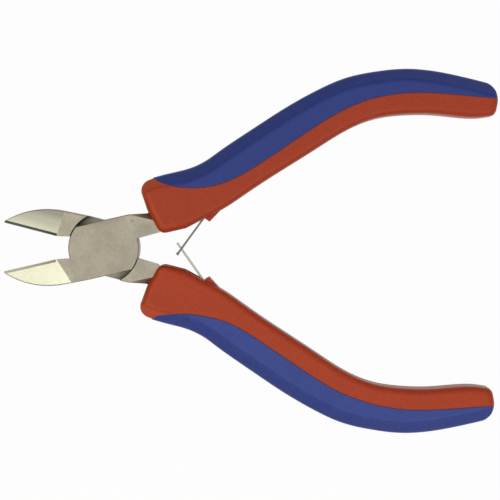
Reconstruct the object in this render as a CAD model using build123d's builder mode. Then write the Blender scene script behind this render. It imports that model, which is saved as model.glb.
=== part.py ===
from build123d import *
import math
import os

# Side cutter with a lap joint, moulded two-colour grips and two crossed leaf springs.
# Each piece of a lever is drawn in that lever's closed frame: pivot at the origin, centre line
# of the closed tool along X, jaw towards -X, handle towards +X, mid-thickness at z 0.

# Levers and their joint
joint_thickness = 7.6
joint_width = 12.0
half_opening = 13.6
cheek_radius = 7.75
cheek_corner_radius = 0.8
recess_clearance = 0.12
cheek_gap = 0.04
step_wall_radius = cheek_radius + recess_clearance

# Rivet: pressed in the front lever, headed in a seat of the rear lever
rivet_diameter = 5.0
rivet_head_diameter = 6.6
rivet_head_height = 1.2
rivet_play = 0.03

# Jaw
jaw_length = 22.7
jaw_back_inset = 0.2
jaw_back_width = 5.8
jaw_tip_width = 0.4
jaw_tip_thickness = 3.0
jaw_gap = 0.02
edge_length = 12.1
relief_length = 3.1
relief_depth = 0.72
front_crease_angle = 20.0
back_crease_angle = 4.0
front_bevel_width = 0.6
front_bevel_height = 1.0
rear_bevel_slope = 0.36
bevel_reach = 8.0
rim_radius = 0.3
wall_facing = 0.3

# Tang
tang_inner_edge = [(7.0, 0.4), (12.3, 0.62), (13.8, 2.2), (19.0, 4.1), (36.0, 9.6), (54.0, 16.2)]
tang_outer_edge = [(10.9, 5.3), (20.0, 8.0), (36.0, 13.6), (54.0, 19.4)]
tang_flank_end = 6.9
tang_crease = [(6.9, 6.0), (10.9, 4.05)]
tang_crease_slope = 45.0
tang_step = 13.2
tang_core_thickness = 5.0
hardness_mark = (7.42, 4.53)
hardness_mark_radius = 0.35
hardness_mark_depth = 0.15

# Grip: each section runs from a point on its inner edge to one on its outer edge
grip_sections = [
    ((9.0, 0.0), (9.2, 12.1)),
    ((13.5, 0.0), (13.6, 12.6)),
    ((17.5, 0.0), (17.4, 12.75)),
    ((21.2, 0.95), (20.6, 12.75)),
    ((25.0, 1.85), (23.4, 13.0)),
    ((28.6, 2.9), (26.2, 13.7)),
    ((32.5, 4.4), (29.0, 14.85)),
    ((41.0, 7.55), (37.5, 18.1)),
    ((50.0, 10.65), (46.8, 21.4)),
    ((56.0, 12.75), (53.6, 23.3)),
    ((61.5, 14.05), (60.2, 24.45)),
    ((66.5, 14.25), (66.5, 24.35)),
    ((72.0, 13.5), (73.4, 23.4)),
    ((77.0, 12.3), (79.6, 21.4)),
    ((82.0, 10.6), (85.2, 18.85)),
    ((87.0, 9.3), (90.0, 16.4)),
    ((92.3, 8.7), (94.8, 14.0)),
]
border_start = (13.2, 13.3)
border_on_face = [
    (15.0, 11.45), (17.3, 10.05), (19.8, 9.05), (24.8, 7.95), (30.3, 8.2),
    (36.0, 9.75), (47.8, 14.2), (55.5, 16.9), (62.5, 18.4),
]
border_on_back = [
    (15.0, 11.45), (17.7, 10.4), (20.3, 9.65), (25.4, 8.95), (30.8, 9.15),
    (36.7, 10.75), (48.5, 15.0), (56.0, 17.4), (62.5, 18.4),
]
border_at_tail = [(62.5, 18.4), (67.0, 18.55), (72.0, 18.05), (82.0, 15.45), (94.0, 11.7)]
grip_thickness = 10.0
grip_trim = 0.01
grip_facet_leg = 2.8
grip_facet_radius = 1.5
grip_inner_radius = 1.6
grip_end_fillet = 1.8
grip_parting_gap = 0.2
cover_wall = 1.2
cover_step = 0.4
seam_width = 0.25
seam_depth = 0.12
front_end = [(12.7, grip_parting_gap), (11.2, 5.9), (10.5, 12.45), (14.4, 12.9)]
front_corner_radius = 2.6
front_inner_radius = 2.0
tail_end = [(84.5, 19.4), (92.7, 15.1), (89.95, 9.0), (84.0, 8.9)]
tail_outer_radius = 4.4
tail_inner_radius = 2.0

# Leaf springs and their pockets
leaf_thickness = 0.4
leaf_width = 4.4
leaf_root = (26.0, 3.6)
leaf_mouth = (22.53, 1.29)
leaf_direction = 220.8
leaf_reach = 8.06
leaf_overhang = 1.6
leaf_swing = 21.2
leaf_bend_radius = 3.0
root_bead_radius = 0.6
bead_clearance = 0.08
slot_half_length = 1.15
slot_width = 2.5
tongue_width = 1.9
tongue_head_width = 3.6
end_block_thickness = 0.6
pocket_clearance = 0.3
pocket_slant = 1.2
pocket_lean = 0.2
channel_floor = 1.05
lug_nose = (23.15, 1.2)
lug_tip = (23.85, 0.45)
lug_foot = (26.6, 2.25)
lug_width = 6.4

half_thickness = joint_thickness / 2
half_width = joint_width / 2
grip_half = grip_thickness / 2
crease_x = -jaw_length + edge_length
jaw_back_start = -crease_x - jaw_back_inset
jaw_taper = (half_thickness - jaw_tip_thickness / 2) / edge_length
cheek_flank = math.sqrt(cheek_radius**2 - half_width**2)
leaf_line = Vector(1, 0).rotate(Axis.Z, leaf_direction)
leaf_crossing = Vector(*leaf_mouth) + leaf_line * leaf_reach
leaf_end = leaf_crossing + leaf_line * leaf_overhang
os.makedirs("parts", exist_ok=True)

# Both levers are drawn alike. The front one stands turned by half the opening, and the rear one
# is turned over about X as well.
opening = math.radians(half_opening)
front_frame = Plane(
    origin=(0, 0, half_thickness),
    x_dir=(math.cos(opening), math.sin(opening), 0),
    z_dir=(0, 0, 1),
)
rear_frame = Plane(
    origin=(0, 0, half_thickness),
    x_dir=(math.cos(opening), -math.sin(opening), 0),
    z_dir=(0, 0, -1),
)


def jaw():
    """Jaw up to the pivot, its faces falling to the tip and its outer rims rounded."""
    with BuildPart() as blank:
        with BuildSketch():
            with BuildLine():
                tip = (-jaw_length, -jaw_gap - jaw_tip_width)
                Polyline(tip, (-jaw_length, -jaw_gap), (crease_x, -jaw_gap),
                         (crease_x + relief_length, -relief_depth),
                         (0, -relief_depth), (0, -half_width))
                flank = Polyline((0, -half_width), (-cheek_flank, -half_width),
                                 (-jaw_back_start, -jaw_back_width))
                TangentArc(flank @ 1, tip, tangent=flank % 1)
            make_face()
        extrude(amount=half_thickness, both=True)

        # The ground faces start at creases that slant differently on the two sides
        for side, angle in ((1, front_crease_angle), (-1, back_crease_angle)):
            slant = math.radians(angle)
            along_crease = Vector(math.sin(slant), -math.cos(slant), 0)
            fall = Vector(-math.cos(slant), -math.sin(slant), -side * jaw_taper / math.cos(slant))
            facing = along_crease.cross(fall) * side
            crease = Plane(
                origin=(crease_x, -jaw_gap, side * half_thickness),
                x_dir=fall,
                z_dir=facing if facing.Z * side > 0 else -facing,
            )
            with BuildSketch(crease):
                Rectangle(jaw_length, 2 * jaw_length, align=(Align.MIN, Align.CENTER))
            extrude(amount=joint_thickness, mode=Mode.SUBTRACT)
        walls = blank.faces().filter_by(lambda face: face.normal_at().Y < -wall_facing)
        fillet(walls.edges().filter_by(Axis.Z, reverse=True), rim_radius)
    return blank.part


def tang():
    """Tang from the pivot into the grip, with rounded outer rims."""
    with BuildPart() as blank:
        with BuildSketch():
            with BuildLine():
                inner = tang_inner_edge
                Polyline((0, half_width), (0, inner[0][1]), *inner[:3])
                Spline(*inner[2:])
                Line(inner[-1], tang_outer_edge[-1])
                Spline(*tang_outer_edge)
                Polyline(tang_outer_edge[0], (tang_flank_end, half_width), (0, half_width))
            make_face()
        extrude(amount=half_thickness, both=True)
        walls = blank.faces().filter_by(lambda face: face.normal_at().Y > wall_facing)
        fillet(walls.edges().filter_by(Axis.Z, reverse=True), rim_radius)
    return blank.part


def cheek():
    """Half-thick plate of the lap joint: a disc cut straight at the flanks, its rim rounded."""
    with BuildPart() as plate:
        with BuildSketch(Plane.XY.offset(cheek_gap / 2)) as plan:
            Circle(cheek_radius)
            Rectangle(2 * cheek_radius, joint_width, mode=Mode.INTERSECT)
            free_corners = [v for v in plan.vertices() if v.X * v.Y < 0]
            fillet(free_corners, cheek_corner_radius)
        extrude(amount=half_thickness - cheek_gap / 2)
        fillet(plate.faces().sort_by(Axis.Z)[-1].edges(), rim_radius)
    return plate.part


def lever(rivet_hole, is_front):
    """One forged lever, with its cheek on the tool's front or on its back."""
    edge_side = 1 if is_front else -1
    with BuildPart() as forging:
        add(jaw())
        add(tang())

        # The other lever's cheek turns inside a round step at the back
        with BuildSketch(Plane.XY.offset(cheek_gap / 2)):
            Circle(step_wall_radius)
        extrude(amount=-joint_thickness, mode=Mode.SUBTRACT)
        add(cheek())

        # Knife edge: a narrow bevel towards the tool's front, a long one towards its back
        edge_height = edge_side * (half_thickness - front_bevel_height)
        edge = Plane(
            origin=(crease_x, -jaw_gap, edge_height),
            x_dir=(0, 1, 0),
            z_dir=(-1, 0, -edge_side * jaw_taper),
        )
        front_run = bevel_reach * front_bevel_width / front_bevel_height
        with BuildSketch(edge):
            with BuildLine():
                Polyline(
                    (0, 0),
                    (-front_run, -edge_side * bevel_reach),
                    (front_run, -edge_side * bevel_reach),
                    (front_run, edge_side * bevel_reach),
                    (-bevel_reach * rear_bevel_slope, edge_side * bevel_reach),
                    close=True,
                )
            make_face()
        extrude(amount=jaw_length, mode=Mode.SUBTRACT)

        # The tang's outer edge is chamfered off as it nears the grip
        crease_start = Vector(*tang_crease[0])
        crease_run = Vector(*tang_crease[1]) - crease_start
        outward = crease_run.normalized().rotate(Axis.Z, 90)
        lean = math.radians(tang_crease_slope)
        for side in (1, -1):
            chamfer_plane = Plane(
                origin=(crease_start.X, crease_start.Y, side * half_thickness),
                x_dir=crease_run,
                z_dir=outward * math.sin(lean) + Vector(0, 0, side * math.cos(lean)),
            )
            with BuildSketch(chamfer_plane):
                Rectangle(2 * crease_run.length, joint_width, align=(Align.MIN, Align.CENTER))
            extrude(amount=joint_thickness, mode=Mode.SUBTRACT)

            # Inside the grip the tang is thinner
            with BuildSketch(Plane.XY.offset(side * tang_core_thickness / 2)):
                with Locations((tang_step, 0)):
                    Rectangle(jaw_length * 2, jaw_length, align=(Align.MIN, Align.MIN))
            extrude(amount=side * half_thickness, mode=Mode.SUBTRACT)

        with Locations((0, 0, half_thickness)):
            if is_front:
                Hole(rivet_hole / 2, depth=joint_thickness)
            else:
                CounterBoreHole(rivet_hole / 2, rivet_head_diameter / 2 + rivet_play,
                                rivet_head_height, depth=joint_thickness)

        # The front lever bears the small cone of a hardness test
        if is_front:
            with Locations((*hardness_mark, half_thickness - hardness_mark_depth / 2)):
                Cone(0, hardness_mark_radius, hardness_mark_depth, mode=Mode.SUBTRACT)
    return forging.part


def grip_ends(wall, front_drop=0.0):
    """Prism whose flat faces, rounded ends and parting side trim the grip.

    The wall moves its faces and its tail in, and the drop lowers its outer front corner.
    """
    front = front_end[:2] + [(x, y - front_drop) for x, y in front_end[2:]]
    tail_line = Vector(*tail_end[1]) - Vector(*tail_end[2])
    shift = tail_line.normalized().rotate(Axis.Z, 90) * wall
    tail = [Vector(*point) + shift for point in tail_end]
    far_y = 2 * tail[0].Y
    with BuildPart() as ends:
        with BuildSketch() as plan:
            with BuildLine():
                Polyline(*front, (tang_step + front[3][0], far_y), (tail[0].X, far_y),
                         *tail, (tail[3].X, grip_parting_gap), close=True)
            make_face()
            rounded = [
                (front[0], front_inner_radius),
                (front[2], front_corner_radius),
                (tail[1], tail_outer_radius),
                (tail[2], tail_inner_radius),
            ]
            for point, radius in rounded:
                fillet(plan.vertices().sort_by_distance(point)[0], radius)
        extrude(amount=grip_half - wall, both=True)
        rims = ends.faces().filter_by(Axis.Z).edges()
        fillet(rims, grip_end_fillet)
    return ends.part


def grip_form(wall):
    """The whole grip, or with a wall the core that is left under a cover of that wall."""
    leg = grip_facet_leg - (2 - math.sqrt(2)) * wall
    with BuildPart() as form:
        for inner, outer in grip_sections:
            across = Vector(*outer) - Vector(*inner)
            section = Plane(
                origin=(inner[0], inner[1], 0),
                x_dir=across,
                z_dir=across.cross(Vector(0, 0, 1)),
            )
            with BuildSketch(section) as profile:
                Rectangle(across.length - wall, grip_thickness - 2 * (wall - grip_trim),
                          align=(Align.MIN, Align.CENTER))
                corners = profile.vertices().group_by(Axis.X)
                fillet(corners[0], grip_inner_radius)
                chamfer(profile.vertices().group_by(Axis.X)[-1], leg)
                facet_ends = profile.vertices().sort_by(Axis.X)[-4:]
                fillet(facet_ends, grip_facet_radius - wall)
        loft()
        add(grip_ends(wall), mode=Mode.INTERSECT)
    return form.part


def colour_border(side):
    """Line on one of the grip's flat faces where the two mouldings meet."""
    points = border_on_face if side > 0 else border_on_back
    with BuildLine() as border:
        Line(border_start, points[0])
        Spline(*points)
        Spline(*border_at_tail)
    return border.line


def seam():
    """Fine groove that is left in both flat faces along the colour border."""
    with BuildPart() as groove:
        for side in (1, -1):
            with BuildSketch(Plane.XY.offset(side * (grip_half - seam_depth))):
                with BuildLine():
                    for shift in (seam_width / 2, -seam_width / 2):
                        add(colour_border(side).moved(Location((0, shift))))
                    for x, y in (border_start, border_at_tail[-1]):
                        Line((x, y + seam_width / 2), (x, y - seam_width / 2))
                make_face()
            extrude(amount=side * joint_thickness)
    return groove.part


def cover_half(side):
    """Half of the grip's outer shell, from the border on its face to mid-thickness."""
    far_y = 2 * tail_end[0][1]
    with BuildPart() as half:
        add(grip_form(0))
        with BuildSketch():
            with BuildLine():
                add(colour_border(side))
                start, end = border_start, border_at_tail[-1]
                Polyline(end, (end[0], far_y), (0, far_y), (0, start[1]), start)
            make_face()
        extrude(amount=side * grip_thickness, mode=Mode.INTERSECT)
        add(grip_form(cover_wall), mode=Mode.SUBTRACT)
    return half.part


def grip_cover():
    """Outer shell of the grip, its two halves joined at mid-thickness."""
    with BuildPart() as cover:
        for side in (1, -1):
            add(cover_half(side))
    return cover.part


def spring_pocket():
    """Space for the leaf: a round seat at its root, a wedge for its swing and a channel."""
    root = Vector(*leaf_root)
    mouth = Vector(*leaf_mouth)
    closed_mouth = root + (mouth - root).rotate(Axis.Z, -leaf_swing)
    room = pocket_clearance + leaf_thickness / 2
    below = -grip_half
    with BuildPart() as pocket:
        with BuildSketch():
            with BuildLine():
                Polyline(
                    (front_end[2][0], below),
                    (front_end[2][0], channel_floor),
                    (front_end[3][0] + pocket_slant, channel_floor),
                    (closed_mouth.X, closed_mouth.Y + room),
                    (root.X, root.Y + room),
                    (root.X + pocket_lean, root.Y - room),
                    (mouth.X + room, mouth.Y - 2 * room),
                    (mouth.X + room, below),
                    close=True,
                )
            make_face()
            with Locations(root):
                Circle(root_bead_radius + bead_clearance)
        extrude(amount=leaf_width / 2 + pocket_clearance, both=True)
    return pocket.part


def grip_body(cover, tang):
    """Hard inner moulding: fills the cover, holds the tang and carries pocket and lug."""
    with BuildPart() as body:
        add(grip_form(0))
        with BuildSketch():
            with BuildLine():
                Polyline((leaf_mouth[0], leaf_root[1]), lug_nose, lug_tip, lug_foot,
                         (lug_foot[0], leaf_root[1]), close=True)
            make_face()
        extrude(amount=lug_width / 2, both=True)
        add(grip_ends(0, cover_step), mode=Mode.INTERSECT)
        add(cover, mode=Mode.SUBTRACT)
        add(spring_pocket(), mode=Mode.SUBTRACT)
        add(tang, mode=Mode.SUBTRACT)
    return body.part


def grooved(moulding):
    """The moulding with its share of the seam cut in."""
    with BuildPart() as piece:
        add(moulding)
        add(seam(), mode=Mode.SUBTRACT)
    return piece.part


def leaf_spring(slotted):
    """Flat spring with a round root. Its free end has a slot, or a tongue with a cross head."""
    end_length = leaf_overhang - slot_half_length
    end_centre = leaf_end - leaf_line * (end_length / 2)
    with BuildPart() as leaf:
        with BuildSketch():
            with BuildLine():
                FilletPolyline(leaf_root, leaf_mouth, leaf_end, radius=leaf_bend_radius)
            trace(line_width=leaf_thickness)
            with Locations(leaf_root):
                Circle(root_bead_radius)
        extrude(amount=leaf_width / 2, both=True)
        at_crossing = Location(leaf_crossing, (0, 0, leaf_direction))
        at_end = Location(end_centre, (0, 0, leaf_direction))
        if slotted:
            with Locations(at_crossing):
                Box(2 * slot_half_length, 4 * leaf_thickness, slot_width, mode=Mode.SUBTRACT)
            with Locations(at_end):
                Box(end_length, end_block_thickness, leaf_width)
        else:
            with Locations(at_crossing):
                for side in (1, -1):
                    with Locations((0, 0, side * (tongue_width + leaf_width) / 2)):
                        Box(2 * slot_half_length, 4 * leaf_thickness, leaf_width,
                            mode=Mode.SUBTRACT)
            with Locations(at_end):
                for side in (1, -1):
                    with Locations((0, 0, side * (tongue_head_width + leaf_width) / 2)):
                        Box(2 * end_length, 4 * leaf_thickness, leaf_width,
                            mode=Mode.SUBTRACT)
    return leaf.part


front_lever = lever(rivet_diameter, is_front=True)
rear_lever = lever(rivet_diameter + 2 * rivet_play, is_front=False)
plain_cover = grip_cover()
cover_form = grooved(plain_cover)
body_form = grooved(grip_body(plain_cover, front_lever))

with BuildPart(front_frame) as front_half:
    add(front_lever)
with BuildPart(rear_frame) as rear_half:
    add(rear_lever)

with BuildPart() as pivot_rivet:
    with BuildSketch():
        Circle(rivet_head_diameter / 2)
    extrude(amount=rivet_head_height - rivet_play)
    with BuildSketch():
        Circle(rivet_diameter / 2)
    extrude(amount=joint_thickness)

with BuildPart(front_frame) as upper_grip_body:
    add(body_form)
with BuildPart(front_frame) as upper_grip_cover:
    add(cover_form)
with BuildPart(rear_frame) as lower_grip_body:
    add(body_form)
with BuildPart(rear_frame) as lower_grip_cover:
    add(cover_form)
with BuildPart(front_frame) as upper_leaf_spring:
    add(leaf_spring(slotted=True))
with BuildPart(rear_frame) as lower_leaf_spring:
    add(leaf_spring(slotted=False))

pieces = {
    "front_half": front_half,
    "rear_half": rear_half,
    "pivot_rivet": pivot_rivet,
    "upper_grip_body": upper_grip_body,
    "upper_grip_cover": upper_grip_cover,
    "lower_grip_body": lower_grip_body,
    "lower_grip_cover": lower_grip_cover,
    "upper_leaf_spring": upper_leaf_spring,
    "lower_leaf_spring": lower_leaf_spring,
}
for name, piece in pieces.items():
    piece.part.label = name
    export_step(piece.part, f"parts/{name}.step")
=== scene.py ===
"""Dresses a small side cutter: ground steel levers, two-colour grips, leaf springs and a stage."""

import math

import bmesh
import bpy
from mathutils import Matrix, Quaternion, Vector


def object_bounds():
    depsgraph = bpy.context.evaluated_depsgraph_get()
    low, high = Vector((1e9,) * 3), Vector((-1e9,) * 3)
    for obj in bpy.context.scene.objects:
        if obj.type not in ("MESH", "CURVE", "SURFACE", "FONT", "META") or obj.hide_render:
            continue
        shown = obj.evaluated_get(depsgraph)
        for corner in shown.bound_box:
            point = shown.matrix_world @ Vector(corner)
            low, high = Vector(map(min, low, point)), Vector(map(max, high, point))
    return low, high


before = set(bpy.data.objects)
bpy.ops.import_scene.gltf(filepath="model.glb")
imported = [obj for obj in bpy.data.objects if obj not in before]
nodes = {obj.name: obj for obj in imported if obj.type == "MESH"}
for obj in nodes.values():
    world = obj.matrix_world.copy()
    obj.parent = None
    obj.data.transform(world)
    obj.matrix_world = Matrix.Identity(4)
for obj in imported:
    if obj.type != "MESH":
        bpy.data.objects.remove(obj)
cad_low, cad_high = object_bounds()

bl_info = {
    "name": "Side cutter",
    "version": (1, 0, 0),
    "blender": (4, 5, 0),
    "location": "View3D > Sidebar > Cutter",
    "description": "Finishes a side cutter and its stage",
    "category": "Object",
}

MM = 0.001
# Bands round a grip for its painted highlights: depths below its flat at which each starts, is
# full, fades and ends
RIDGE_BAND = (0.5 * MM, 0.15 * MM, 0.05 * MM, 0.0)
FACET_BAND = (3.3 * MM, 2.5 * MM, 0.7 * MM, 0.2 * MM)
# Only the bottom of the groove lies at its depth over a width that shows
SEAM_FULL = 0.002 * MM
SEAM_MARGIN = 0.004 * MM
# Half the height in which a lever's face counts as one of its mid-thickness
MIDDLE_MARGIN = 0.1 * MM
# The brightest part of the dome leans a little towards the lower grip
SKY_TOP = (0.0, -0.1, 0.995)
# Name, place of the lamp from the aim in metres, width in metres, power in watts
LAMPS = (
    ("key", (-0.27, -0.18, 0.73), 0.25, 0.6),
    ("fill", (0.35, -0.45, 0.6), 0.6, 1.1),
)


def tint(label, about, value):
    """A colour property with its name, description and default."""
    return bpy.props.FloatVectorProperty(
        name=label, description=about, subtype="COLOR", size=3, default=value, min=0, max=1,
    )


def angle(label, about, degrees):
    """An angle property whose default is given in degrees."""
    return bpy.props.FloatProperty(
        name=label, description=about, subtype="ANGLE", default=math.radians(degrees),
    )


def length(label, about, millimetres):
    """A length property whose default is given in millimetres."""
    return bpy.props.FloatProperty(
        name=label, description=about, subtype="DISTANCE", unit="LENGTH",
        default=millimetres * MM,
    )


def share(label, about, value):
    """A property for a share, from 0 for none to 1 for all."""
    return bpy.props.FloatProperty(
        name=label, description=about, subtype="FACTOR", default=value, min=0, max=1,
    )


class SteelFinish(bpy.types.PropertyGroup):
    """Colours of the ground and polished steel, with painted shade and glint, and where they meet
    in a lever's closed frame.
    """

    ground: tint("Ground steel", "Faces of the joint and the tangs", (0.436, 0.402, 0.306))
    darkened: tint("Handled steel", "Middle of the joint's faces", (0.375, 0.3457, 0.2632))
    warm: tint("Warm patches", "Broad brownish patches in the ground faces", (0.29, 0.262, 0.21))
    speck: tint("Specks", "Small dark specks in the ground faces", (0.25, 0.22, 0.18))
    recess: tint("Recess", "Painted shade in the corner beside the step of the lap joint", (0.06, 0.05, 0.035))
    polished: tint("Polished steel", "Sloping faces of the jaws", (0.485, 0.475, 0.36))
    rim_shade: tint("Dull rim", "Painted shade on the outer part of the rear jaw's polished face", (0.325, 0.312, 0.245))
    glint: tint("Glint", "Rear jaw's polished face along its edge", (0.66, 0.645, 0.50))
    front_edge: tint("Front cutting edge", "Bevel on the front lever", (0.46, 0.44, 0.335))
    rear_edge_shade: tint("Rear edge shade", "Bevel on the rear lever, painted dark as shade", (0.07, 0.063, 0.05))
    shaded_upper_spring: tint("Shaded upper leaf spring", "Spring steel painted dark as shade", (0.17, 0.17, 0.155))
    lower_spring: tint("Lower leaf spring", "Bright spring steel", (0.43, 0.41, 0.34))
    half_opening: angle("Half opening", "Turn of each lever from the centre line at rest", 13.6)
    middle: length("Middle", "Height of the middle of the levers over the joint's back", 3.8)
    cheek_crease: angle("Crease on the cheek side", "Slant of the jaw's crease", 20.0)
    recess_crease: angle("Crease on the recess side", "Slant of the jaw's crease", 4.0)
    crease_start: length("Crease", "Start of the crease before the pivot, at the edge", 10.6)
    edge_bevel: length("Edge bevel", "Width of the bevel of the cutting edge", 0.64)
    strip_bright: length("Bright strip", "Where it starts to fade, from the edge", 0.8)
    strip_end: length("Strip's end", "Where the bright strip ends, from the edge", 2.5)
    strip_start: length("Strip's start", "Where the strip is at its brightest past the crease", 6.0)
    strip_least: share("Strip by the crease", "How bright the strip is where it starts", 0.6)
    rim_start: length("Rim's start", "Where the rim's painted shade starts, from the edge", 3.0)
    rim_full: length("Rim", "Where the rim's painted shade is darkest, from the edge", 4.6)
    step_radius: length("Step", "Radius of the lap joint's round step", 7.8)
    step_shade: length("Shade of the step", "How far the dark recess reaches from the step", 1.4)
    recess_least: share("Open recess", "How dark the recess is away from the step", 0.15)
    darkened_radius: length("Handled middle", "Radius of the darkened part of the joint", 6.0)
    undarkened_radius: length("Undarkened steel", "Radius beyond which the steel isn't darkened", 11.0)
    ground_rough: share("Ground roughness", "Roughness of the ground faces", 0.42)
    polish: share("Polish", "How much less rough the jaws' sloping faces are", 0.12)


class GripFinish(bpy.types.PropertyGroup):
    """Colours and grain of the moulded grips, with places in a lever's closed frame."""

    upper_red: tint("Upper red", "Flats of the upper inner moulding", (0.328, 0.030, 0.002))
    # The lower grip's flats are paler than the upper's by a painted sheen
    lower_red_with_sheen: tint("Lower red with sheen", "Flats of the lower inner moulding", (0.362, 0.0335, 0.002))
    deep_red: tint("Deep red", "Rounded sides of the inner mouldings", (0.33, 0.030, 0.002))
    upper_blue: tint("Upper blue", "Flats of the upper cover", (0.0165, 0.033, 0.192))
    lower_blue_with_sheen: tint("Lower blue with sheen", "Flats of the lower cover", (0.0285, 0.051, 0.241))
    deep_blue: tint("Deep blue", "Facets and sides of the covers", (0.016, 0.032, 0.190))
    red_highlight: tint("Red highlight", "Painted highlight on the red's front ridge and corner", (0.50, 0.07, 0.018))
    seam: tint("Seam", "Dust in the fine groove between the colours", (0.10, 0.022, 0.022))
    seam_depth: length("Seam depth", "Depth of the groove between the colours", 0.12)
    half_thickness: length("Half thickness", "From the middle of a grip to its flat faces", 5.0)
    flat_margin: length("Flat's margin", "Height over which the side shades into the flat", 0.8)
    ridge_end: length("Ridge's end", "Where the ridge's painted highlight ends, from the pivot", 17.5)
    ridge_full: length("Ridge", "Where the ridge's painted highlight is brightest, from the pivot", 13.5)
    ridge_highlight: share("Ridge highlight", "Strength of the front ridge's painted highlight", 0.55)
    corner_end: length("Corner's end", "Where the corner's painted highlight ends, from the pivot", 21.0)
    corner_full: length("Corner", "Where the corner's painted highlight is brightest", 17.0)
    corner_inner: length("Corner's inner side", "Where it starts beside the centre line", 7.2)
    corner_outer: length("Corner's outer side", "Where it is palest beside the centre line", 8.6)
    corner_highlight: share("Corner highlight", "Strength of the front corner's painted highlight", 0.8)
    grain: length("Grain", "Width of a grain of the moulded surface", 0.22)


class StageView(bpy.types.PropertyGroup):
    """Camera, floor and sky."""

    aim: bpy.props.FloatVectorProperty(
        name="Aim", description="Point that the middle of the picture shows",
        subtype="TRANSLATION", size=3, default=(32.02 * MM, -0.06 * MM, 7.6 * MM),
    )
    distance: length("Distance", "From the camera to the aim", 450)
    width: length("Width", "Width of the picture at the aim", 109.27)
    lean: angle("Lean", "Tilt of the camera towards the upper grip", 1.0)
    roll: angle("Roll", "Turn of the picture about its middle", 0.59)
    floor_reach: length("Floor", "From the middle of the floor to its sides", 3000)
    floor_white: share("White floor", "How far the floor is plain white to the camera", 0.975)
    sky_tint: tint("Sky", "Colour of the dome", (1.0, 0.99, 0.97))
    sky_low: share("Low sky", "Strength of the dome near the horizon", 0.24)


def new_material(name):
    """An empty node material with a Principled shader."""
    material = bpy.data.materials.new(name)
    material.use_nodes = True
    tree = material.node_tree
    shader = tree.nodes["Principled BSDF"]
    return material, tree, shader


def add(tree, kind, **values):
    """Adds a shader node and sets its properties."""
    node = tree.nodes.new(kind)
    for name, value in values.items():
        setattr(node, name, value)
    return node


def join(tree, socket, source):
    """Links an input socket to an output, or sets it to a plain value."""
    if isinstance(source, bpy.types.NodeSocket):
        tree.links.new(source, socket)
    else:
        socket.default_value = source


def feed(tree, node, **sources):
    """Joins input sockets by their plain names, with _ for a space."""
    for name, source in sources.items():
        join(tree, node.inputs[name.replace("_", " ")], source)
    return node


def compute(tree, operation, *sources):
    """A Math node on sockets or numbers, and its result."""
    node = add(tree, "ShaderNodeMath", operation=operation)
    for socket, source in zip(node.inputs, sources):
        join(tree, socket, source)
    return node.outputs[0]


def ramp(tree, value, low, high, at_low=0.0, at_high=1.0):
    """A number that runs evenly from one value to another between two places."""
    node = add(tree, "ShaderNodeMapRange")
    feed(tree, node, Value=value, From_Min=low, From_Max=high, To_Min=at_low, To_Max=at_high)
    return node.outputs["Result"]


def band(tree, value, low, rise, fall, high):
    """A share that rises from low to rise, and falls again from fall to high."""
    return compute(tree, "MULTIPLY", ramp(tree, value, low, rise), ramp(tree, value, high, fall))


def colour(value):
    """An opaque colour for a socket."""
    return (*value, 1.0)


def blend_colours(tree, amount, first, second):
    """Mixes the first colour towards the second. Each is a socket or a plain colour."""
    node = add(tree, "ShaderNodeMix", data_type="RGBA")
    tree.links.new(amount, node.inputs["Factor"])
    # Sockets 6 and 7 are the two colours, and output 2 is their mix
    for socket, source in ((node.inputs[6], first), (node.inputs[7], second)):
        is_socket = isinstance(source, bpy.types.NodeSocket)
        join(tree, socket, source if is_socket else colour(source))
    return node.outputs[2]


def split_vector(tree, vector):
    """The X, Y and Z of a vector."""
    node = add(tree, "ShaderNodeSeparateXYZ")
    tree.links.new(vector, node.inputs[0])
    return tuple(node.outputs)


def noise_of_size(tree, given, detail):
    """Noise whose features have the width that the group's Size gives."""
    per_size = compute(tree, "DIVIDE", 1.0, given.outputs["Size"])
    noise = add(tree, "ShaderNodeTexNoise")
    feed(tree, noise, Vector=given.outputs["Vector"], Scale=per_size, Detail=detail)
    return noise.outputs["Fac"]


def group(name, inputs, outputs):
    """A shader node group. Its inputs are (name, kind, default), and its outputs (name, kind)."""
    tree = bpy.data.node_groups.new(name, "ShaderNodeTree")
    for label, kind, default in inputs:
        socket = tree.interface.new_socket(label, in_out="INPUT", socket_type=kind)
        if default is not None:
            socket.default_value = default
    for label, kind in outputs:
        tree.interface.new_socket(label, in_out="OUTPUT", socket_type=kind)
    return tree, tree.nodes.new("NodeGroupInput"), tree.nodes.new("NodeGroupOutput")


def patches_group():
    """Soft uneven patches: mixes a colour towards a second one and varies the roughness."""
    tree, given, result = group(
        "Uneven patches",
        [
            ("Vector", "NodeSocketVector", None),
            ("Colour", "NodeSocketColor", (0.5, 0.5, 0.5, 1)),
            ("Patch colour", "NodeSocketColor", (0.3, 0.3, 0.3, 1)),
            ("Size", "NodeSocketFloat", 2 * MM),
            ("Amount", "NodeSocketFloat", 0.5),
            ("Roughness", "NodeSocketFloat", 0.4),
            ("Roughness change", "NodeSocketFloat", 0.1),
        ],
        [("Colour", "NodeSocketColor"), ("Roughness", "NodeSocketFloat")],
    )
    noise = noise_of_size(tree, given, detail=4.0)
    # Low noise makes no patch, and high noise the whole amount
    patch = ramp(tree, noise, 0.35, 0.7, at_high=given.outputs["Amount"])
    shade = blend_colours(tree, patch, given.outputs["Colour"], given.outputs["Patch colour"])
    rough = compute(
        tree, "MULTIPLY_ADD", patch, given.outputs["Roughness change"],
        given.outputs["Roughness"],
    )
    feed(tree, result, Colour=shade, Roughness=rough)


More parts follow.
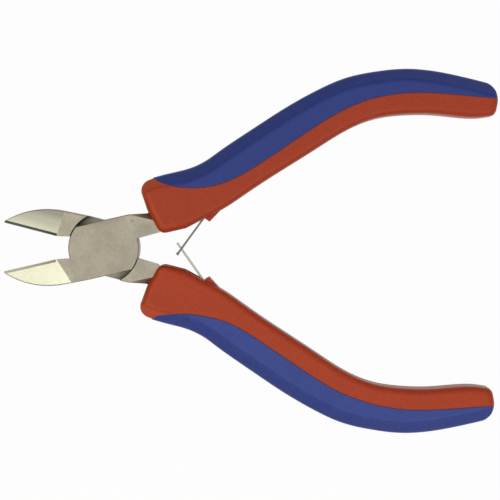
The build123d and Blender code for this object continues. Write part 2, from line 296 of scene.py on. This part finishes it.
def relief_group():
    """Fine surface relief from noise that may be drawn out along one axis of its vector."""
    tree, given, result = group(
        "Fine relief",
        [
            ("Vector", "NodeSocketVector", None),
            ("Size", "NodeSocketFloat", 0.2 * MM),
            ("Height", "NodeSocketFloat", 0.01 * MM),
            ("Strength", "NodeSocketFloat", 0.5),
        ],
        [("Normal", "NodeSocketVector")],
    )
    bump = add(tree, "ShaderNodeBump")
    feed(
        tree, bump, Height=noise_of_size(tree, given, detail=3.0),
        Distance=given.outputs["Height"], Strength=given.outputs["Strength"],
    )
    feed(tree, result, Normal=bump.outputs["Normal"])


def place_group(tree, name, **sources):
    """Puts a node group in a material with its own values."""
    node = add(tree, "ShaderNodeGroup", node_tree=bpy.data.node_groups[name])
    return feed(tree, node, **sources)


def lever_areas_group(steel):
    """Finds each finish of a lever, and where shade and glint are painted on it, from its
    coordinates, as a share.
    """
    areas = ("Polished", "Bevel", "Recess", "Dull rim", "Bright strip", "Handled")
    tree, given, result = group(
        "Lever areas",
        [("Vector", "NodeSocketVector", None)],
        [(area, "NodeSocketFloat") for area in areas],
    )
    x, y, z = split_vector(tree, given.outputs["Vector"])
    # The crease has one slant on the cheek's side, over the middle, and one on the recess's side
    cheek, recess = math.tan(steel.cheek_crease), math.tan(steel.recess_crease)
    slope = compute(
        tree, "MULTIPLY_ADD", compute(tree, "GREATER_THAN", z, 0.0), cheek - recess, recess)
    crease = compute(
        tree, "MULTIPLY_ADD", compute(tree, "MULTIPLY", slope, y), -1.0, -steel.crease_start)
    past_crease = compute(tree, "SUBTRACT", crease, x)
    bevel = compute(
        tree, "MULTIPLY", compute(tree, "GREATER_THAN", y, -steel.edge_bevel),
        compute(tree, "LESS_THAN", x, -steel.crease_start),
    )
    # The bright strip is where a glint is painted along the rear jaw's edge
    strip = compute(
        tree, "MULTIPLY", ramp(tree, past_crease, 0.0, steel.strip_start, steel.strip_least, 1.0),
        ramp(tree, y, -steel.strip_end, -steel.strip_bright),
    )
    radius = compute(
        tree, "SQRT", compute(tree, "MULTIPLY_ADD", x, x, compute(tree, "MULTIPLY", y, y)))
    # Faces at mid-thickness get painted shade, darkest by the lap joint's step
    at_middle = compute(tree, "LESS_THAN", compute(tree, "ABSOLUTE", z), MIDDLE_MARGIN)
    by_step = ramp(
        tree, radius, steel.step_radius - steel.step_shade, steel.step_radius,
        steel.recess_least, 1.0,
    )
    # The rim share is where shade is painted on the rear jaw's outer part
    feed(
        tree, result, Bevel=bevel, Bright_strip=strip,
        Polished=compute(tree, "GREATER_THAN", past_crease, 0.0),
        Recess=compute(tree, "MULTIPLY", at_middle, by_step),
        Dull_rim=ramp(tree, y, -steel.rim_start, -steel.rim_full),
        Handled=ramp(tree, radius, steel.undarkened_radius, steel.darkened_radius),
    )


def lever_coordinates(tree, steel, turned_over):
    """Object coordinates turned into a lever's closed frame: jaw at -X, mid-thickness at Z 0."""
    where = add(tree, "ShaderNodeTexCoord")
    turn = add(tree, "ShaderNodeMapping", vector_type="POINT")
    feed(
        tree, turn, Vector=where.outputs["Object"], Rotation=(0, 0, -steel.half_opening),
        Scale=(1, -1, -1) if turned_over else (1, 1, 1),
        Location=(0, 0, steel.middle if turned_over else -steel.middle),
    )
    return turn.outputs["Vector"]


def lever_steel(name, steel, turned_over):
    """Ground steel with painted shade in the recess, polished beyond the jaw's crease, with a
    bevelled edge.
    """
    material, tree, shader = new_material(name)
    place = lever_coordinates(tree, steel, turned_over)
    areas = place_group(tree, "Lever areas", Vector=place).outputs
    # The ground is made darker towards the middle of the joint
    base = blend_colours(tree, areas["Handled"], steel.ground, steel.darkened)
    broad = place_group(
        tree, "Uneven patches", Vector=place, Colour=base, Patch_colour=colour(steel.warm),
        Size=4.6 * MM, Amount=0.7, Roughness=steel.ground_rough, Roughness_change=0.05,
    )
    fine = place_group(
        tree, "Uneven patches", Vector=place, Colour=broad.outputs["Colour"],
        Patch_colour=colour(steel.speck), Size=0.45 * MM, Amount=0.33,
        Roughness=broad.outputs["Roughness"], Roughness_change=0.08,
    )
    # Painted shade in the recess beside the lap joint's step
    ground = blend_colours(tree, areas["Recess"], fine.outputs["Colour"], steel.recess)
    # Only the rear jaw gets painted shade on its outer rim, a painted glint along its edge and a
    # bevel painted dark as shade
    if turned_over:
        rim = blend_colours(tree, areas["Dull rim"], steel.polished, steel.rim_shade)
        polished = blend_colours(tree, areas["Bright strip"], rim, steel.glint)
        edge = steel.rear_edge_shade
    else:
        polished, edge = steel.polished, steel.front_edge
    face = blend_colours(tree, areas["Polished"], ground, polished)
    finish = blend_colours(tree, areas["Bevel"], face, edge)
    rough = compute(
        tree, "MULTIPLY_ADD", areas["Polished"], -steel.polish, fine.outputs["Roughness"])
    # The grinding marks are noise drawn out across the lever
    drawn = add(tree, "ShaderNodeMapping")
    feed(tree, drawn, Vector=place, Scale=(1.0, 0.12, 1.0))
    marks = place_group(
        tree, "Fine relief", Vector=drawn.outputs["Vector"], Size=0.12 * MM,
        Height=0.004 * MM, Strength=0.35,
    )
    feed(
        tree, shader, Base_Color=finish, Roughness=rough, Normal=marks.outputs["Normal"],
        Metallic=1.0,
    )
    return material


def spring_steel(name, shade):
    """Plain steel of a leaf spring, with darker patches."""
    material, tree, shader = new_material(name)
    where = add(tree, "ShaderNodeTexCoord").outputs["Object"]
    marked = place_group(
        tree, "Uneven patches", Vector=where, Colour=colour(shade),
        Patch_colour=colour([0.6 * part for part in shade]), Size=1.5 * MM, Amount=0.3,
        Roughness=0.3, Roughness_change=0.1,
    )
    marks = place_group(
        tree, "Fine relief", Vector=where, Size=0.1 * MM, Height=0.003 * MM, Strength=0.3)
    feed(
        tree, shader, Base_Color=marked.outputs["Colour"], Roughness=marked.outputs["Roughness"],
        Normal=marks.outputs["Normal"], Metallic=1.0,
    )
    return material


def highlights_group(grips):
    """Moulding with a painted sheen on its flats, a painted highlight on its front ridge and
    corner, and a dusty seam.
    """
    tree, given, result = group(
        "Moulding highlights",
        [
            ("Vector", "NodeSocketVector", None),
            ("Side colour", "NodeSocketColor", (0.3, 0.3, 0.3, 1)),
            ("Flat colour", "NodeSocketColor", (0.4, 0.4, 0.4, 1)),
            ("Ridge colour", "NodeSocketColor", (0.5, 0.5, 0.5, 1)),
            ("Seam colour", "NodeSocketColor", (0.1, 0.1, 0.1, 1)),
        ],
        [("Colour", "NodeSocketColor")],
    )
    x, y, z = split_vector(tree, given.outputs["Vector"])
    height = compute(tree, "ABSOLUTE", z)
    top = grips.half_thickness
    # Painted sheen: the side colour turns into the flat colour on the flats
    sheen_on_flats = ramp(tree, height, top - grips.flat_margin, top)
    shade = blend_colours(tree, sheen_on_flats, given.outputs["Side colour"], given.outputs["Flat colour"])
    # Painted highlight along the front ridge and on the front outer corner's facet
    ridge = band(tree, height, *(top - depth for depth in RIDGE_BAND))
    front = ramp(tree, x, grips.ridge_end, grips.ridge_full, 0.0, grips.ridge_highlight)
    facet = band(tree, height, *(top - depth for depth in FACET_BAND))
    outside = compute(
        tree, "MULTIPLY", ramp(tree, y, grips.corner_inner, grips.corner_outer),
        ramp(tree, x, grips.corner_end, grips.corner_full, 0.0, grips.corner_highlight),
    )
    # Share of the painted highlight on the ridge and the corner
    marked = compute(
        tree, "MAXIMUM", compute(tree, "MULTIPLY", ridge, front),
        compute(tree, "MULTIPLY", facet, outside),
    )
    shade = blend_colours(tree, marked, shade, given.outputs["Ridge colour"])
    bottom = top - grips.seam_depth
    groove = band(
        tree, height, bottom - SEAM_MARGIN, bottom - SEAM_FULL, bottom + SEAM_FULL,
        bottom + SEAM_MARGIN,
    )
    shade = blend_colours(tree, groove, shade, given.outputs["Seam colour"])
    feed(tree, result, Colour=shade)


def moulded_plastic(name, scene, turned_over, flat, side, ridge):
    """Moulded plastic with painted sheen and highlights, a fine grain and small scuffs, slightly
    uneven in colour and gloss.
    """
    material, tree, shader = new_material(name)
    grips = scene.cutter_grips
    place = lever_coordinates(tree, scene.cutter_steel, turned_over)
    highlighted = place_group(
        tree, "Moulding highlights", Vector=place, Side_colour=colour(side),
        Flat_colour=colour(flat), Ridge_colour=colour(ridge), Seam_colour=colour(grips.seam),
    )
    mottle = place_group(
        tree, "Uneven patches", Vector=place, Colour=highlighted.outputs["Colour"],
        Patch_colour=colour([0.9 * part for part in side]), Size=3 * MM, Amount=0.3,
        Roughness=0.4, Roughness_change=0.1,
    )
    # A scuff is the flat's colour made paler, with a little grey dust
    scuff = [1.3 * part + 0.012 for part in flat]
    scuffs = place_group(
        tree, "Uneven patches", Vector=place, Colour=mottle.outputs["Colour"],
        Patch_colour=colour(scuff), Size=0.45 * MM, Amount=0.45,
        Roughness=mottle.outputs["Roughness"], Roughness_change=0.06,
    )
    skin = place_group(
        tree, "Fine relief", Vector=place, Size=grips.grain, Height=0.03 * MM, Strength=0.35)
    feed(
        tree, shader, Base_Color=scuffs.outputs["Colour"],
        Roughness=scuffs.outputs["Roughness"], Normal=skin.outputs["Normal"],
        Specular_IOR_Level=0.26,
    )
    return material


def dress(node, material):
    """Puts a material in every slot of a node."""
    piece = nodes[node]
    if not piece.material_slots:
        piece.data.materials.append(material)
    for slot in piece.material_slots:
        slot.material = material


class CUTTER_OT_levers(bpy.types.Operator):
    """Finish the two steel levers"""

    bl_idname = "cutter.levers"
    bl_label = "Levers"

    def execute(self, context):
        steel = context.scene.cutter_steel
        lever_areas_group(steel)
        front = lever_steel("front steel", steel, turned_over=False)
        dress("front_half", front)
        dress("pivot_rivet", front)
        dress("rear_half", lever_steel("rear steel", steel, turned_over=True))
        return {"FINISHED"}


class CUTTER_OT_springs(bpy.types.Operator):
    """Finish the two leaf springs"""

    bl_idname = "cutter.springs"
    bl_label = "Leaf springs"

    def execute(self, context):
        steel = context.scene.cutter_steel
        # The upper leaf's steel is painted dark as shade; the lower leaf keeps the plain bright
        # steel
        for side, shade in (("upper", steel.shaded_upper_spring), ("lower", steel.lower_spring)):
            dress(f"{side}_leaf_spring", spring_steel(f"{side} spring steel", shade))
        return {"FINISHED"}


class CUTTER_OT_grips(bpy.types.Operator):
    """Finish the two-colour grips"""

    bl_idname = "cutter.grips"
    bl_label = "Grips"

    def execute(self, context):
        scene = context.scene
        grips = scene.cutter_grips
        highlights_group(grips)
        for side, turned_over, red, blue in (
                ("upper", False, grips.upper_red, grips.upper_blue),
                ("lower", True, grips.lower_red_with_sheen, grips.lower_blue_with_sheen)):
            body = moulded_plastic(
                f"{side} red plastic", scene, turned_over, red, grips.deep_red, grips.red_highlight)
            cover = moulded_plastic(
                f"{side} blue plastic", scene, turned_over, blue, grips.deep_blue,
                grips.deep_blue,
            )
            dress(f"{side}_grip_body", body)
            dress(f"{side}_grip_cover", cover)
        return {"FINISHED"}


class CUTTER_OT_stage(bpy.types.Operator):
    """Make the floor, the lights, the world and the camera"""

    bl_idname = "cutter.stage"
    bl_label = "Stage"

    def execute(self, context):
        view = context.scene.cutter_stage
        make_floor(context.scene, view)
        make_world(context.scene, view)
        for name, offset, size, power in LAMPS:
            make_lamp(context.scene, name, Vector(view.aim), Vector(offset), size, power)
        make_camera(context.scene, view)
        return {"FINISHED"}


def make_floor(scene, view):
    """White floor that keeps the object's soft shadow."""
    made = bmesh.new()
    bmesh.ops.create_grid(made, x_segments=1, y_segments=1, size=view.floor_reach)
    bmesh.ops.translate(made, verts=made.verts, vec=(0, 0, cad_low.z))
    mesh = bpy.data.meshes.new("floor")
    made.to_mesh(mesh)
    made.free()
    floor = bpy.data.objects.new("floor", mesh)
    scene.collection.objects.link(floor)
    material, tree, shader = new_material("white floor")
    feed(tree, shader, Base_Color=colour((0.4, 0.4, 0.4)), Roughness=0.9)
    glow = feed(tree, add(tree, "ShaderNodeEmission"), Color=colour((1, 1, 1)))
    # The camera and the gloss on the object see the floor nearly white
    rays = add(tree, "ShaderNodeLightPath").outputs
    seen = compute(tree, "MAXIMUM", rays["Is Camera Ray"], rays["Is Glossy Ray"])
    mix = add(tree, "ShaderNodeMixShader")
    tree.links.new(compute(tree, "MULTIPLY", seen, view.floor_white), mix.inputs["Fac"])
    tree.links.new(shader.outputs["BSDF"], mix.inputs[1])
    tree.links.new(glow.outputs["Emission"], mix.inputs[2])
    tree.links.new(mix.outputs["Shader"], tree.nodes["Material Output"].inputs["Surface"])
    floor.data.materials.append(material)


def make_world(scene, view):
    """Pale dome, brightest overhead, that lights the tool and shows in the steel."""
    world = bpy.data.worlds.new("studio")
    world.use_nodes = True
    tree = world.node_tree
    where = add(tree, "ShaderNodeTexCoord")
    height = add(tree, "ShaderNodeVectorMath", operation="DOT_PRODUCT")
    join(tree, height.inputs[0], where.outputs["Generated"])
    join(tree, height.inputs[1], SKY_TOP)
    strength = add(tree, "ShaderNodeMapRange", interpolation_type="SMOOTHSTEP")
    feed(tree, strength, Value=height.outputs["Value"], From_Min=0.05, From_Max=0.97,
         To_Min=view.sky_low, To_Max=1.0)
    feed(tree, tree.nodes["Background"], Color=colour(view.sky_tint),
         Strength=strength.outputs["Result"])
    scene.world = world


def make_lamp(scene, name, aim, offset, size, power):
    """A square soft lamp that looks at the aim."""
    lamp = bpy.data.lights.new(name, "AREA")
    lamp.size = size
    lamp.energy = power
    stand = bpy.data.objects.new(name, lamp)
    stand.location = aim + offset
    stand.rotation_mode = "QUATERNION"
    stand.rotation_quaternion = (-offset).to_track_quat("-Z", "Y")
    scene.collection.objects.link(stand)


def make_camera(scene, view):
    """Camera that looks down on the tool, leaning a little towards the upper grip."""
    data = bpy.data.cameras.new("camera")
    data.lens = data.sensor_width * view.distance / view.width
    data.clip_start = 0.01
    data.clip_end = 20.0
    camera = bpy.data.objects.new("camera", data)
    turn = Quaternion((1, 0, 0), -view.lean) @ Quaternion((0, 0, 1), view.roll)
    camera.location = Vector(view.aim) + turn @ Vector((0, 0, view.distance))
    camera.rotation_mode = "QUATERNION"
    camera.rotation_quaternion = turn
    scene.collection.objects.link(camera)
    scene.camera = camera


class CUTTER_PT_panel(bpy.types.Panel):
    """Lists the makers of the side cutter"""

    bl_idname = "CUTTER_PT_panel"
    bl_label = "Side cutter"
    bl_space_type = "VIEW_3D"
    bl_region_type = "UI"
    bl_category = "Cutter"

    def draw(self, context):
        for operator in OPERATORS:
            self.layout.operator(operator.bl_idname)


OPERATORS = (CUTTER_OT_levers, CUTTER_OT_springs, CUTTER_OT_grips, CUTTER_OT_stage)
SETTINGS = {
    "cutter_steel": SteelFinish,
    "cutter_grips": GripFinish,
    "cutter_stage": StageView,
}


def register():
    """Registers the classes and puts the settings in the scene."""
    for kind in (*SETTINGS.values(), *OPERATORS, CUTTER_PT_panel):
        bpy.utils.register_class(kind)
    for name, kind in SETTINGS.items():
        setattr(bpy.types.Scene, name, bpy.props.PointerProperty(type=kind))


def unregister():
    """Takes the settings and the classes away again."""
    for name in SETTINGS:
        delattr(bpy.types.Scene, name)
    for kind in reversed((*SETTINGS.values(), *OPERATORS, CUTTER_PT_panel)):
        bpy.utils.unregister_class(kind)


def main():
    """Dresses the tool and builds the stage."""
    register()
    bpy.context.scene.view_settings.view_transform = "Standard"
    patches_group()
    relief_group()
    bpy.ops.cutter.levers()
    bpy.ops.cutter.springs()
    bpy.ops.cutter.grips()
    bpy.ops.cutter.stage()


if __name__ == "__main__":
    main()
